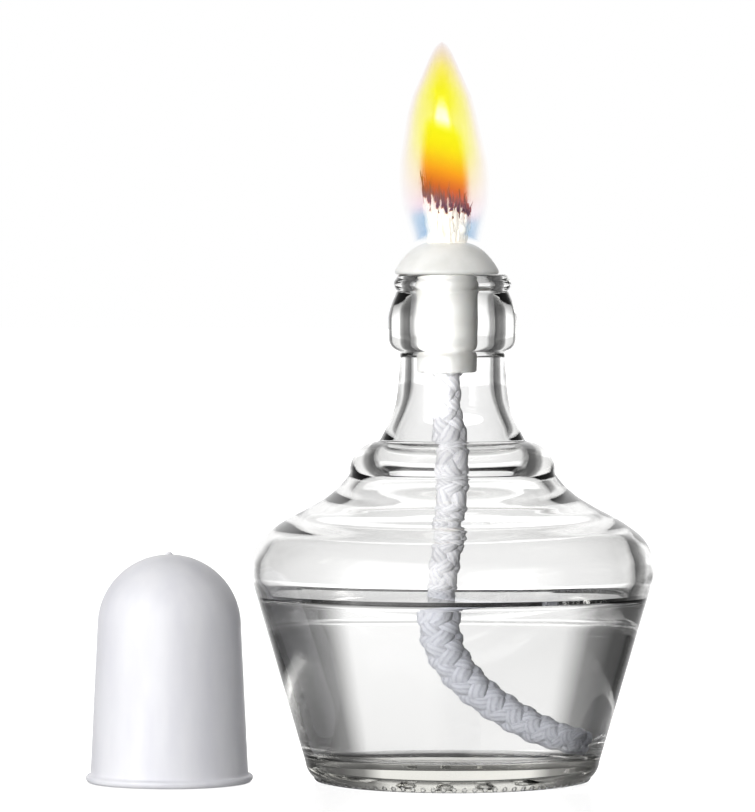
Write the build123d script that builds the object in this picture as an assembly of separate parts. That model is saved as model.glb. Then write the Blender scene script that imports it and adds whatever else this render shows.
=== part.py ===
"""Spirit lamp: a moulded glass bottle of lamp oil, a porcelain wick holder that drops into its mouth, a braided cotton
wick with its flame, and a plastic snuffer cap that stands beside the bottle.

Units are millimetres. +Z is up, and the origin is the centre of the bottle's foot, on the surface that it stands on.
Every turned outline is a list of (radius, height) points about its own vertical axis.
"""

from build123d import *
import math
import os

# Bottle: outside
FOOT_INNER_R = 27.0
FOOT_OUTER_R = 30.2
PUNT_HEIGHT = 2.6
HEEL_TOP = (34.0, 4.6)
BODY_TOP = (46.2, 46.0)
BODY_MAX_R = 46.75
LEDGE_BOTTOM = (23.7, 71.1)
NECK_BOTTOM = (17.0, 78.5)
NECK_R = 12.2
BEAD_R = 14.8
BEAD_LAND = (102.6, 106.6)
GROOVE = (12.8, 113.2)
LIP_Z = 117.0

# Bottle: inside
FLOOR_CROWN_Z = 10.8
FLOOR_EDGE = (24.0, 7.4)
WALL_BOTTOM = (31.4, 11.5)
WALL_TOP = (43.0, 46.5)
NECK_BORE_R = 9.5
MOUTH_BORE_R = 9.9
MOUTH_ROUND = 1.0

# Lamp oil
OIL_LEVEL = 43.0
WICK_GAP = 0.3

# Wick holder, which stands off-centre by part of the play that its stem has in the mouth
HOLDER_X = -1.3
DOME_R = 12.0
DOME_HEIGHT = 7.3
RIM_HEIGHT = 0.7
STEM_TOP_R = 7.4
STEM_BOTTOM_R = 6.9
STEM_LENGTH = 22.8
HOLDER_BORE_R = 3.4
BORE_ROUND = 0.9

# Wick
WICK_R = 3.3
TIP_HEIGHT = 12.0
TIP_SPREAD_R = 5.1
# The tail's route, from the foot of the holder's stem to the cut end on the bottle's floor
TAIL_ROUTE = [
    (HOLDER_X, 0.0, LIP_Z - STEM_LENGTH),
    (HOLDER_X, 0.0, 85.0),
    (0.3, -0.4, 73.0),
    (0.0, 0.3, 60.0),
    (-1.9, 0.5, 48.5),
    (-2.3, 0.2, 38.8),
    (0.2, -0.3, 30.6),
    (5.0, -0.9, 23.7),
    (11.4, -2.8, 17.8),
    (18.9, -6.0, 12.9),
    (25.4, -9.2, 11.1),
]
FILLET_SHARE = 0.45

# Flame: a thin hollow shell, open below round the wick
FLAME_FOOT = (7.7, 124.4)
FLAME_BELLY = (10.4, 138.5)
FLAME_TIP_Z = 170.6
FLAME_WALL = 0.4

# Snuffer cap
CAP_PLACE = (-65.3, -3.0)
CAP_MOUTH_R = 18.2
CAP_TOP_R = 16.5
CAP_DOME_Z = 36.0
CAP_WALL = 1.2
FLANGE_R = 19.2
FLANGE_HEIGHT = 1.6
GATE_NUB_R = 0.7
GATE_NUB_HEIGHT = 0.5

HOLDER_TOP_Z = LIP_Z + DOME_HEIGHT


def turned(*edges):
    """A solid of revolution about Z from edges drawn as (radius, height)."""
    return revolve(Plane.XZ * make_face(Curve() + list(edges)), Axis.Z)


def bottle_outside():
    """The bottle's outer form, filled: foot, tapered body, shoulder, ledge, flared neck, bead and lip."""
    foot = Polyline((0, PUNT_HEIGHT + 4), (0, PUNT_HEIGHT))
    punt = ThreePointArc((0, PUNT_HEIGHT), (FOOT_INNER_R * 0.55, PUNT_HEIGHT * 0.72), (FOOT_INNER_R, 0))
    land = Line((FOOT_INNER_R, 0), (FOOT_OUTER_R, 0))
    heel = ThreePointArc((FOOT_OUTER_R, 0), (32.8, 1.7), HEEL_TOP)
    body = Line(HEEL_TOP, BODY_TOP)
    rise = (BODY_TOP[0] - HEEL_TOP[0], BODY_TOP[1] - HEEL_TOP[1])
    shoulder = Spline(
        BODY_TOP,
        (BODY_MAX_R, 49.4),
        (45.1, 54.7),
        (39.5, 59.7),
        (33.0, 63.2),
        (28.0, 66.4),
        LEDGE_BOTTOM,
        tangents=[rise, (-0.6, 1)],
    )
    ledge = Spline(LEDGE_BOTTOM, (23.1, 74.4), (20.6, 77.3), NECK_BOTTOM, tangents=[(0.15, 1), (-1, 0.15)])
    neck = Spline(
        NECK_BOTTOM,
        (15.5, 81.2),
        (13.5, 85.8),
        (12.5, 92.0),
        (NECK_R, 99.2),
        tangents=[(-0.7, 1), (0, 1)],
    )
    bead_foot = ThreePointArc((NECK_R, 99.2), (13.9, 100.1), (BEAD_R, BEAD_LAND[0]))
    bead_land = Line((BEAD_R, BEAD_LAND[0]), (BEAD_R, BEAD_LAND[1]))
    bead_top = Spline((BEAD_R, BEAD_LAND[1]), (14.1, 109.9), GROOVE, tangents=[(0, 1), (-0.35, 1)])
    lip_ring = ThreePointArc(GROOVE, (13.55, 114.6), (12.9, 116.1))
    lip_round = ThreePointArc((12.9, 116.1), (12.55, 116.75), (11.8, LIP_Z))
    lip_top = Polyline((11.8, LIP_Z), (0, LIP_Z), (0, PUNT_HEIGHT + 4))
    return turned(
        foot, punt, land, heel, body, shoulder, ledge, neck, bead_foot, bead_land, bead_top, lip_ring, lip_round, lip_top
    )


def bottle_cavity():
    """The bottle's inner form, from its crowned floor up through the mouth to just above the lip."""
    axis = Line((0, LIP_Z + 1), (0, FLOOR_CROWN_Z))
    floor = ThreePointArc((0, FLOOR_CROWN_Z), (13.0, 9.9), FLOOR_EDGE)
    heel = ThreePointArc(FLOOR_EDGE, (29.2, 8.4), WALL_BOTTOM)
    wall = Line(WALL_BOTTOM, WALL_TOP)
    rise = (WALL_TOP[0] - WALL_BOTTOM[0], WALL_TOP[1] - WALL_BOTTOM[1])
    shoulder = Spline(
        WALL_TOP,
        (43.2, 49.6),
        (41.2, 54.2),
        (35.8, 58.7),
        (29.4, 61.8),
        (24.0, 65.2),
        (20.0, 70.2),
        (17.2, 75.2),
        (13.3, 80.4),
        (10.8, 86.0),
        (NECK_BORE_R, 93.0),
        tangents=[rise, (0, 1)],
    )
    bore = Line((NECK_BORE_R, 93.0), (NECK_BORE_R, 100.0))
    step = Spline((NECK_BORE_R, 100.0), (MOUTH_BORE_R, 104.0), tangents=[(0, 1), (0, 1)])
    mouth = Line((MOUTH_BORE_R, 104.0), (MOUTH_BORE_R, LIP_Z - MOUTH_ROUND))
    round_over = ThreePointArc(
        (MOUTH_BORE_R, LIP_Z - MOUTH_ROUND),
        (MOUTH_BORE_R + MOUTH_ROUND * 0.293, LIP_Z - MOUTH_ROUND * 0.293),
        (MOUTH_BORE_R + MOUTH_ROUND, LIP_Z),
    )
    above = Polyline((MOUTH_BORE_R + MOUTH_ROUND, LIP_Z), (MOUTH_BORE_R + MOUTH_ROUND, LIP_Z + 1), (0, LIP_Z + 1))
    return turned(axis, floor, heel, wall, shoulder, bore, step, mouth, round_over, above)


def tail_path(extra=0.0):
    """The tail's centreline, as straight runs joined by tangent arcs. extra lengthens its last run."""
    points = [Vector(*p) for p in TAIL_ROUTE]
    last_run = (points[-1] - points[-2]).normalized()
    points[-1] = points[-1] + last_run * extra
    radii = []
    for before, here, after in zip(points, points[1:], points[2:]):
        turn = math.radians((here - before).get_angle(after - here))
        shorter = min((here - before).length, (after - here).length)
        radii.append(FILLET_SHARE * shorter / math.tan(turn / 2))
    return FilletPolyline(*points, radius=radii), radii


def tube(path, radius):
    """A round bar along a path."""
    section = Plane(origin=path @ 0, z_dir=path % 0) * Circle(radius)
    return sweep(section, path=path)


def glass_bottle(cavity):
    """The one-piece glass bottle."""
    return bottle_outside() - cavity


def lamp_oil(cavity):
    """The oil that fills the bottle up to its level, with room for the wick's tail."""
    below = Pos(0, 0, OIL_LEVEL) * Box(200, 200, 200, align=(Align.CENTER, Align.CENTER, Align.MAX))
    path, _ = tail_path(extra=WICK_GAP)
    return (cavity & below) - tube(path, WICK_R + WICK_GAP)


def wick_holder():
    """The porcelain holder: a dome that rests on the lip, a stem that hangs in the mouth, and a bore for the wick."""
    top_r = HOLDER_BORE_R + BORE_ROUND
    foot_z = -STEM_LENGTH
    rim = Line((DOME_R - 0.5, 0), (DOME_R, RIM_HEIGHT))
    dome = Spline(
        (DOME_R, RIM_HEIGHT),
        (11.25, 2.1),
        (9.9, 3.9),
        (7.9, 5.8),
        (top_r, DOME_HEIGHT),
        tangents=[(-0.3, 1), (-1, 0.12)],
    )
    round_in = ThreePointArc(
        (top_r, DOME_HEIGHT),
        (HOLDER_BORE_R + BORE_ROUND * 0.293, DOME_HEIGHT - BORE_ROUND * 0.293),
        (HOLDER_BORE_R, DOME_HEIGHT - BORE_ROUND),
    )
    bore = Line((HOLDER_BORE_R, DOME_HEIGHT - BORE_ROUND), (HOLDER_BORE_R, foot_z))
    stem_foot = Polyline((HOLDER_BORE_R, foot_z), (STEM_BOTTOM_R - 0.5, foot_z), (STEM_BOTTOM_R, foot_z + 0.5))
    stem = Line((STEM_BOTTOM_R, foot_z + 0.5), (STEM_TOP_R, -1.2))
    fillet = ThreePointArc((STEM_TOP_R, -1.2), (STEM_TOP_R + 0.12, -0.3), (STEM_TOP_R + 0.6, 0))
    seat = Line((STEM_TOP_R + 0.6, 0), (DOME_R - 0.5, 0))
    holder = turned(rim, dome, round_in, bore, stem_foot, stem, fillet, seat)
    return Pos(HOLDER_X, 0, LIP_Z) * holder


def wick_shank():
    """The stretch of wick that the holder grips, from the foot of its stem to the top of its dome."""
    length = STEM_LENGTH + DOME_HEIGHT - BORE_ROUND
    return Pos(HOLDER_X, 0, LIP_Z - STEM_LENGTH) * Cylinder(
        WICK_R, length, align=(Align.CENTER, Align.CENTER, Align.MIN)
    )


def wick_tip():
    """The frayed, burning end that stands above the dome, cut off on the slant."""
    start = -BORE_ROUND
    outline = Spline(
        (WICK_R, start),
        (WICK_R + 0.75, 0.6),
        (TIP_SPREAD_R, 5.6),
        (TIP_SPREAD_R - 0.6, TIP_HEIGHT),
        tangents=[(0.1, 1), (-0.1, 1)],
    )
    ends = Polyline((TIP_SPREAD_R - 0.6, TIP_HEIGHT), (0, TIP_HEIGHT), (0, start), (WICK_R, start))
    slant = Pos(0, 0, TIP_HEIGHT - 1.6) * Rot(0, 20, 0) * Box(40, 40, 20, align=(Align.CENTER, Align.CENTER, Align.MIN))
    return Pos(HOLDER_X, 0, HOLDER_TOP_Z) * (turned(outline, ends) - slant)


def flame():
    """The flame's outer form, as a thin hollow shell that is open below round the wick."""

    def form(inset):
        foot_r = FLAME_FOOT[0] - inset
        tip_z = FLAME_TIP_Z - inset * 3
        side = Spline(
            (foot_r, FLAME_FOOT[1]),
            (8.6 - inset, 129.0),
            (FLAME_BELLY[0] - inset, FLAME_BELLY[1]),
            (7.6 - inset, 151.0),
            (4.4 - inset, 162.5),
            (0, tip_z),
            tangents=[(0.3, 1), (-1, 1.4)],
        )
        return turned(side, Polyline((0, tip_z), (0, FLAME_FOOT[1]), (foot_r, FLAME_FOOT[1])))

    return Pos(HOLDER_X, 0, 0) * (form(0.0) - form(FLAME_WALL))


def snuffer_cap():
    """The moulded cap: a tapered shell with a domed top, a flange round its mouth and the nub of its gate."""

    def form(inset):
        crown = CAP_DOME_Z + CAP_TOP_R - inset
        wall = Line((CAP_MOUTH_R - inset, 0), (CAP_TOP_R - inset, CAP_DOME_Z))
        slant = math.sqrt(0.5) * (CAP_TOP_R - inset)
        dome = ThreePointArc((CAP_TOP_R - inset, CAP_DOME_Z), (slant, CAP_DOME_Z + slant), (0, crown))
        return turned(wall, dome, Polyline((0, crown), (0, 0), (CAP_MOUTH_R - inset, 0)))

    flange = Cylinder(FLANGE_R, FLANGE_HEIGHT, align=(Align.CENTER, Align.CENTER, Align.MIN))
    flange = fillet(flange.edges().group_by(Axis.Z)[-1], FLANGE_HEIGHT * 0.45)
    nub = Pos(0, 0, CAP_DOME_Z + CAP_TOP_R - GATE_NUB_HEIGHT) * Cylinder(
        GATE_NUB_R, 2 * GATE_NUB_HEIGHT, align=(Align.CENTER, Align.CENTER, Align.MIN)
    )
    return Pos(*CAP_PLACE, 0) * ((form(0.0) + flange + nub) - form(CAP_WALL))


def main():
    os.makedirs("parts", exist_ok=True)
    cavity = bottle_cavity()
    path, radii = tail_path()
    tail = tube(path, WICK_R)
    print("tail length", round(path.length, 2), "bend radii", [round(r, 1) for r in radii])
    print("tail volume over section times length", round(tail.volume / (math.pi * WICK_R**2 * path.length), 4))
    nodes = {
        "glass_bottle": glass_bottle(cavity),
        "lamp_oil": lamp_oil(cavity),
        "wick_holder": wick_holder(),
        "wick_shank": wick_shank(),
        "wick_tail": tail,
        "wick_tip": wick_tip(),
        "flame": flame(),
        "snuffer_cap": snuffer_cap(),
    }
    for name, shape in nodes.items():
        export_step(shape, f"parts/{name}.step")
        print(name, round(shape.volume / 1000, 2), "cm3")


main()
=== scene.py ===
"""Spirit lamp: the looks of its glass, oil, porcelain, cotton, flame and plastic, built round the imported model.

Everything is in metres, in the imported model's own frame: +Z is up and the origin is the centre of the bottle's foot.
"""

import logging
import math
import random
from dataclasses import dataclass, field
from enum import Enum
from typing import Callable, Sequence

import bmesh
import bpy
import numpy as np
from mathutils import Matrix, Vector, noise


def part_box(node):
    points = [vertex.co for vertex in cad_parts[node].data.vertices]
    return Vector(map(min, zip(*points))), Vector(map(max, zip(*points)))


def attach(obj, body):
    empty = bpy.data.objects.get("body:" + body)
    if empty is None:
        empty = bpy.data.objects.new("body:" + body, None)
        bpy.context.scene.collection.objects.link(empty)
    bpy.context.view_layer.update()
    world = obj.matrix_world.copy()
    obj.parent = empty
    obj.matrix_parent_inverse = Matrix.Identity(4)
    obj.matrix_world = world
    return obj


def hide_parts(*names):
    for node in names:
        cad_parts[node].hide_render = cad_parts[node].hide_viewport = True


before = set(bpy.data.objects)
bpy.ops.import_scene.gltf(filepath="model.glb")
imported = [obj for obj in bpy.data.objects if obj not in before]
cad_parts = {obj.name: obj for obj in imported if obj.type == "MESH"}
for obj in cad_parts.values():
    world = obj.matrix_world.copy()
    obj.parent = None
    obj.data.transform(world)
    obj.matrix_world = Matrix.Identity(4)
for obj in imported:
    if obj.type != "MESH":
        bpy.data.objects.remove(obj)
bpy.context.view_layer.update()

MM = 0.001
LOG = logging.getLogger("spirit_lamp")

WICK_RADIUS = 3.3
# The holder's axis, to the left of the bottle's, in millimetres.
HOLDER_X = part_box("wick_shank")[0].x / MM + WICK_RADIUS

Pair = tuple[float, float]
Triple = tuple[float, float, float]
Colour = tuple[float, float, float, float]
Tree = bpy.types.NodeTree
Node = bpy.types.Node
Socket = bpy.types.NodeSocket
Piece = bpy.types.Object
Mesh = bpy.types.Mesh
Material = bpy.types.Material


class Body(str, Enum):
    """The bodies that the pieces ride on."""

    BOTTLE = "bottle"
    HOLDER = "holder"
    WICK = "wick"
    CAP = "cap"


def held(value: float) -> float:
    """The value, held between 0 and 1."""
    return max(0.0, min(1.0, value))


# ---------------------------------------------------------------- colours and nodes


def linear(code: str) -> Colour:
    """Turns an sRGB hex code, "#RRGGBB", into linear light."""
    shares = [int(code[i : i + 2], 16) / 255 for i in (1, 3, 5)]
    light = [c / 12.92 if c <= 0.04045 else ((c + 0.055) / 1.055) ** 2.4 for c in shares]
    return (light[0], light[1], light[2], 1.0)


def grey(value: float) -> Colour:
    """A grey as linear light."""
    return (value, value, value, 1.0)


def add(tree: Tree, kind: str, given: dict[str | int, object] | None = None) -> Node:
    """Adds a node.

    Args:
        tree: The tree that it goes in.
        kind: The node's type name.
        given: By input name, input number or property name, a value or the output that feeds it.

    Returns:
        The new node.
    """
    node = tree.nodes.new(kind)
    for name, value in (given or {}).items():
        if isinstance(value, Socket):
            tree.links.new(value, node.inputs[name])
        elif isinstance(name, int) or name in node.inputs:
            node.inputs[name].default_value = value
        else:
            setattr(node, name, value)
    return node


def ramp(tree: Tree, factor: Socket, stops: Sequence[tuple[float, Colour]]) -> Socket:
    """Adds a colour ramp.

    Args:
        tree: The tree that it goes in.
        factor: What it reads.
        stops: (place, colour) in order.

    Returns:
        Its colour.
    """
    node = add(tree, "ShaderNodeValToRGB", {"Fac": factor})
    elements = node.color_ramp.elements
    elements.remove(elements[-1])
    elements[0].position, elements[0].color = stops[0]
    for place, colour in stops[1:]:
        elements.new(place).color = colour
    return node.outputs["Color"]


def mix(
    tree: Tree, factor: Socket | float, first: Socket | Colour, second: Socket | Colour, blend: str = "MIX"
) -> Socket:
    """Adds a colour mix.

    Args:
        tree: The tree that it goes in.
        factor: How much of the second colour it takes.
        first: The first colour.
        second: The second colour.
        blend: How they meet.

    Returns:
        The mixed colour.
    """
    given = {"data_type": "RGBA", "blend_type": blend, 0: factor, 6: first, 7: second}
    return add(tree, "ShaderNodeMix", given).outputs[2]


def reckon(tree: Tree, operation: str, *values: Socket | float) -> Socket:
    """Adds a Math node.

    Args:
        tree: The tree that it goes in.
        operation: Its operation.
        values: Its inputs in order.

    Returns:
        Its result.
    """
    return add(tree, "ShaderNodeMath", {"operation": operation, **dict(enumerate(values))}).outputs[0]


# ---------------------------------------------------------------- finishes


@dataclass(frozen=True)
class Finish:
    """What every finish has: a name, and a Principled shader whose plain values are set on its sockets."""

    name: str

    def shader_values(self) -> dict[str, object]:
        """The values that are the same all over the surface."""
        return {}

    def dress(self, tree: Tree, shader: Node) -> None:
        """Adds what varies over the surface."""

    def build(self) -> Material:
        """Makes the material."""
        material = bpy.data.materials.new(self.name)
        material.use_nodes = True
        tree = material.node_tree
        tree.nodes.clear()
        shader = add(tree, "ShaderNodeBsdfPrincipled", self.shader_values())
        add(tree, "ShaderNodeOutputMaterial", {"Surface": shader.outputs["BSDF"]})
        self.dress(tree, shader)
        return material

    @staticmethod
    def object_noise(tree: Tree, size_mm: float, stretch: Triple = (1, 1, 1), detail: float = 3.0) -> Socket:
        """Adds a noise texture on Object coordinates.

        Args:
            tree: The material's tree.
            size_mm: The pattern's feature size.
            stretch: How much finer than that it is along X, Y and Z.
            detail: How many finer layers it has.

        Returns:
            The noise, from 0 to 1.
        """
        place = add(tree, "ShaderNodeTexCoord").outputs["Object"]
        turned = add(tree, "ShaderNodeMapping", {"Scale": stretch, "Vector": place}).outputs["Vector"]
        given = {"Scale": 1 / (size_mm * MM), "Detail": detail, "Roughness": 0.5, "Vector": turned}
        return add(tree, "ShaderNodeTexNoise", given).outputs["Fac"]

    @staticmethod
    def bump(tree: Tree, shader: Node, height: Socket, depth_mm: float) -> None:
        """Feeds the shader's normal from a height.

        Args:
            tree: The material's tree.
            shader: The Principled node.
            height: The height, from 0 to 1.
            depth_mm: The real depth that 1 stands for.
        """
        bumped = add(tree, "ShaderNodeBump", {"Distance": depth_mm * MM, "Strength": 1.0, "Height": height})
        tree.links.new(bumped.outputs["Normal"], shader.inputs["Normal"])


@dataclass(frozen=True)
class ClearBody(Finish):
    """A colourless body with a skin as smooth as a liquid's."""

    ior: float

    def shader_values(self) -> dict[str, object]:
        """All the light that gets in goes through."""
        return {"Base Color": grey(1.0), "Roughness": 0.0, "IOR": self.ior, "Transmission Weight": 1.0}


@dataclass(frozen=True)
class FlintGlass(ClearBody):
    """Soda-lime flint glass, blown in an iron mould: clear, faintly green where it is thick, and rippled."""

    name: str = "flint_glass"
    ior: float = 1.52
    ripple_mm: float = 16.0
    ripple_stretch: Triple = (1.0, 1.0, 1.6)
    ripple_detail: float = 0.6
    ripple_depth_mm: float = 0.035
    body_colour: str = "#CBC8AE"
    body_density: float = 6.0

    def dress(self, tree: Tree, shader: Node) -> None:
        """Ripples from the mould's cold wall, and the colour of the glass's own depth."""
        ripple = self.object_noise(tree, self.ripple_mm, self.ripple_stretch, self.ripple_detail)
        self.bump(tree, shader, ripple, self.ripple_depth_mm)
        body = {"Color": linear(self.body_colour), "Density": self.body_density}
        depth = add(tree, "ShaderNodeVolumeAbsorption", body)
        output = next(n for n in tree.nodes if n.type == "OUTPUT_MATERIAL")
        tree.links.new(depth.outputs["Volume"], output.inputs["Volume"])


@dataclass(frozen=True)
class ParaffinOil(ClearBody):
    """Refined lamp paraffin: colourless, and bends light nearly as much as the glass."""

    name: str = "paraffin_oil"
    ior: float = 1.43


@dataclass(frozen=True)
class BisquePorcelain(Finish):
    """Slip-cast porcelain with a thin satin glaze: bright white, soft in its gloss, with a few iron specks."""

    name: str = "satin_porcelain"
    white: str = "#F6F6F3"
    shade: str = "#ECECE8"
    speck: str = "#B9A88F"
    mottle_mm: float = 5.0
    speck_mm: float = 0.9
    grain_mm: float = 0.35
    grain_depth_mm: float = 0.012

    def shader_values(self) -> dict[str, object]:
        """Satin glaze over a body that lets a little light in."""
        depth = {"Subsurface Weight": 0.15, "Subsurface Radius": (0.9, 0.8, 0.7), "Subsurface Scale": 0.6 * MM}
        return {"Roughness": 0.34, "IOR": 1.5, **depth}

    def dress(self, tree: Tree, shader: Node) -> None:
        """Faint mottling, rare specks and the glaze's fine pebble."""
        mottle = self.object_noise(tree, self.mottle_mm)
        body = ramp(tree, mottle, [(0.35, linear(self.shade)), (0.6, linear(self.white))])
        rare = ramp(tree, self.object_noise(tree, self.speck_mm), [(0.76, grey(0.0)), (0.80, grey(0.5))])
        tree.links.new(mix(tree, rare, body, linear(self.speck)), shader.inputs["Base Color"])
        self.bump(tree, shader, self.object_noise(tree, self.grain_mm), self.grain_depth_mm)


@dataclass(frozen=True)
class MouldedPolypropylene(Finish):
    """Injection-moulded polypropylene, filled white: waxy, satin, and slightly see-through at its thin edges."""

    name: str = "moulded_polypropylene"
    white: str = "#EFEFF3"
    shade: str = "#E6E6EC"
    flow_mm: float = 14.0
    flow_stretch: Triple = (2.2, 2.2, 0.5)
    skin_mm: float = 0.5
    skin_depth_mm: float = 0.012

    def shader_values(self) -> dict[str, object]:
        """Waxy satin with shallow depth."""
        depth = {"Subsurface Weight": 0.2, "Subsurface Radius": (1.0, 0.95, 0.95), "Subsurface Scale": 0.8 * MM}
        return {"Roughness": 0.36, "IOR": 1.49, **depth}

    def dress(self, tree: Tree, shader: Node) -> None:
        """Flow marks that run up from the rim, and the spark-eroded skin of the mould."""
        flow = self.object_noise(tree, self.flow_mm, self.flow_stretch)
        colour = ramp(tree, flow, [(0.3, linear(self.shade)), (0.65, linear(self.white))])
        tree.links.new(colour, shader.inputs["Base Color"])
        self.bump(tree, shader, self.object_noise(tree, self.skin_mm), self.skin_depth_mm)


@dataclass(frozen=True)
class CottonBraid(Finish):
    """Braided bleached cotton: matt, with the fine lines of its yarns and painted shade in their furrows, and greyer
    where oil has soaked it.
    """

    name: str = "cotton_braid"
    dry: str = "#F1F1F4"
    wet: str = "#DCDEE6"
    # The painted shade colour of the yarn furrows.
    painted_furrow_shade: Colour = (0.72, 0.72, 0.76, 1)
    yarns: float = 5.0
    yarn_depth_mm: float = 0.13
    yarn_share: float = 0.3
    # How much of the painted furrow shade the base colour takes.
    painted_shade_share: float = 0.85
    fibre_mm: float = 0.35

    def shader_values(self) -> dict[str, object]:
        """Matt, with a little fibre sheen."""
        return {"Roughness": 0.9, "Sheen Weight": 0.25, "Sheen Roughness": 0.5, "IOR": 1.45}

    def dress(self, tree: Tree, shader: Node) -> None:
        """Yarn furrows along each strand, on its own UV map, darkened with painted shade, with soaked and dry
        stretches.
        """
        soak = add(tree, "ShaderNodeAttribute", {"attribute_name": "soak"})
        soaked = mix(tree, soak.outputs["Fac"], linear(self.dry), linear(self.wet))
        chart = add(tree, "ShaderNodeUVMap", {"uv_map": "UVMap"})
        across = add(tree, "ShaderNodeSeparateXYZ", {0: chart.outputs["UV"]})
        lines = reckon(tree, "MULTIPLY", across.outputs["X"], 2 * self.yarns * math.tau)
        fray = self.object_noise(tree, self.fibre_mm)
        height = reckon(tree, "MULTIPLY_ADD", reckon(tree, "SINE", lines), self.yarn_share, fray)
        # Painted shade: the furrows between the yarns, and dips in the fibre noise, are darkened in the base colour.
        shade = ramp(tree, height, [(0.1, self.painted_furrow_shade), (0.55, grey(1.0))])
        tree.links.new(mix(tree, self.painted_shade_share, soaked, shade, "MULTIPLY"), shader.inputs["Base Color"])
        self.bump(tree, shader, height, self.yarn_depth_mm)


@dataclass(frozen=True)
class SingedCotton(Finish):
    """Cotton at the burning end: cream below, scorched brown and then a purple-black char that glows at its edge, with
    the flame's light painted onto the pale yarns as a glow.
    """

    name: str = "singed_cotton"
    cream: str = "#FFFBF2"
    scorch: str = "#B0693C"
    char: str = "#4A2034"
    ember: str = "#E0400C"
    # The glow painted onto the pale yarns, as if lit by the flame.
    painted_flamelight: str = "#8A8274"
    fibre_mm: float = 0.6
    fibre_depth_mm: float = 0.1
    unevenness: float = 0.25

    def shader_values(self) -> dict[str, object]:
        """Matt fibre."""
        return {"Roughness": 0.95, "Sheen Weight": 0.3, "IOR": 1.45, "Emission Strength": 1.0}

    def dress(self, tree: Tree, shader: Node) -> None:
        """Colours the yarns by how burnt they are, paints the flame's light onto the pale ones as a glow, and lights
        the ember.
        """
        burn = add(tree, "ShaderNodeAttribute", {"attribute_name": "burn"}).outputs["Fac"]
        glow = add(tree, "ShaderNodeAttribute", {"attribute_name": "glow"}).outputs["Fac"]
        fray = self.object_noise(tree, self.fibre_mm)
        uneven = reckon(tree, "MULTIPLY_ADD", fray, self.unevenness, burn)
        burns = [(0.36, linear(self.cream)), (0.58, linear(self.scorch)), (0.74, linear(self.char))]
        tree.links.new(ramp(tree, uneven, burns), shader.inputs["Base Color"])
        # Painted light: the pale, unburnt yarns glow in the flame's light; the char's ember glows of itself.
        painted_flamelight = ramp(tree, uneven, [(0.40, linear(self.painted_flamelight)), (0.60, grey(0.0))])
        tree.links.new(mix(tree, glow, painted_flamelight, linear(self.ember)), shader.inputs["Emission Color"])
        self.bump(tree, shader, fray, self.fibre_depth_mm)


@dataclass(frozen=True)
class FlameGas(Finish):
    """Burning vapour: light with no surface, coloured and thinned by the point attribute that each sheath carries."""

    name: str = "flame_gas"

    def shader_values(self) -> dict[str, object]:
        """It reflects nothing."""
        matt = {"Base Color": grey(0.0), "Roughness": 1.0, "IOR": 1.0, "Specular IOR Level": 0.0}
        return {**matt, "Emission Strength": 1.0}

    def dress(self, tree: Tree, shader: Node) -> None:
        """Takes colour and density from the sheath."""
        gas = add(tree, "ShaderNodeAttribute", {"attribute_name": "gas"})
        tree.links.new(gas.outputs["Color"], shader.inputs["Emission Color"])
        tree.links.new(gas.outputs["Alpha"], shader.inputs["Alpha"])


@dataclass(frozen=True)
class GlossAcrylic(Finish):
    """The white acrylic sheet that the lamp stands on, lit from below: even and bright, and glossy at a low angle."""

    name: str = "white_acrylic"
    lit: float = 0.93
    fill: float = 0.25

    def shader_values(self) -> dict[str, object]:
        """Only gloss: its white is its own light."""
        return {"Base Color": grey(0.0), "Roughness": 0.16, "IOR": 1.4, "Emission Strength": 1.0}


# ---------------------------------------------------------------- outlines and meshes


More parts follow.
